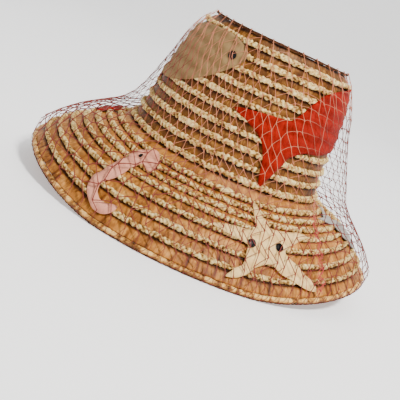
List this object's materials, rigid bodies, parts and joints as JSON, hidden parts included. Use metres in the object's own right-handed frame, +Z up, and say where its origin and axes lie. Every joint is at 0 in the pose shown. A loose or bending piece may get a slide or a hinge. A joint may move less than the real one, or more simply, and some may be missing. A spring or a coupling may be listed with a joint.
{
  "type": "straw sun hat with a net overlay",
  "caption": "Straw sun hat of sewn braid with a tapered flower-pot crown and a drooping bell brim, under a stretched fishnet that holds felt sea creatures.",
  "frame": {"origin": "middle of the hat's outline seen from above, at the height of the lowest points of the brim's edge, which rest on the floor at the two sides", "axes": "+Z up through the crown; the wearer faces -Y; X runs across the hat from side to side"},
  "size_m": [0.3214, 0.3654, 0.208],
  "materials": {
    "straw": "flat plaited straw with a silky sheen",
    "raffia": "matt crinkled raffia cord",
    "edge_straw": "satin straw wound round a cord",
    "thread": "matt sewing thread",
    "ribbon": "ribbed grosgrain, matt",
    "net": "soft knotted thread net",
    "net_seam": "soft bunched thread",
    "eye_black": "polished, domed",
    "felt_tan": "matt felt",
    "felt_red": "matt felt",
    "felt_pink": "matt felt",
    "felt_cream": "matt felt",
    "felt_grey": "matt felt"
  },
  "bodies": {
    "root": {"crown_tip": "straw", "tip_knot": "raffia", "tip_cord_1": "raffia", "tip_cord_2": "raffia", "tip_cord_3": "raffia", "tip_cord_4": "raffia", "tip_cord_5": "raffia", "crown_wall": "straw", "crown_cord_01": "raffia", "crown_cord_02": "raffia", "crown_cord_03": "raffia", "crown_cord_04": "raffia", "crown_cord_05": "raffia", "crown_cord_06": "raffia", "crown_cord_07": "raffia", "crown_cord_08": "raffia", "crown_cord_09": "raffia", "crown_cord_10": "raffia", "brim": "straw", "brim_cord_11": "raffia", "brim_cord_12": "raffia", "brim_cord_13": "raffia", "brim_cord_14": "raffia", "brim_cord_15": "raffia", "brim_cord_16": "raffia", "brim_cord_17": "raffia", "edge_cord": "edge_straw", "edge_stitching": "thread", "top_thread": "thread", "sweatband": "ribbon", "sweatband_join": "ribbon", "net_cover": "net", "net_seam": "net_seam", "net_hem_cord": "net_seam", "tan_fish": "felt_tan", "tan_fish_eye": "eye_black", "red_fish": "felt_red", "red_fish_eye": "eye_black", "seahorse": "felt_pink", "seahorse_eye": "eye_black", "starfish": "felt_cream", "starfish_eye_left": "eye_black", "starfish_eye_right": "eye_black", "grey_fish": "felt_grey", "grey_fish_eye": "eye_black", "small_red_fish": "felt_red", "small_red_fish_eye": "eye_black"}
  },
  "joints": []
}
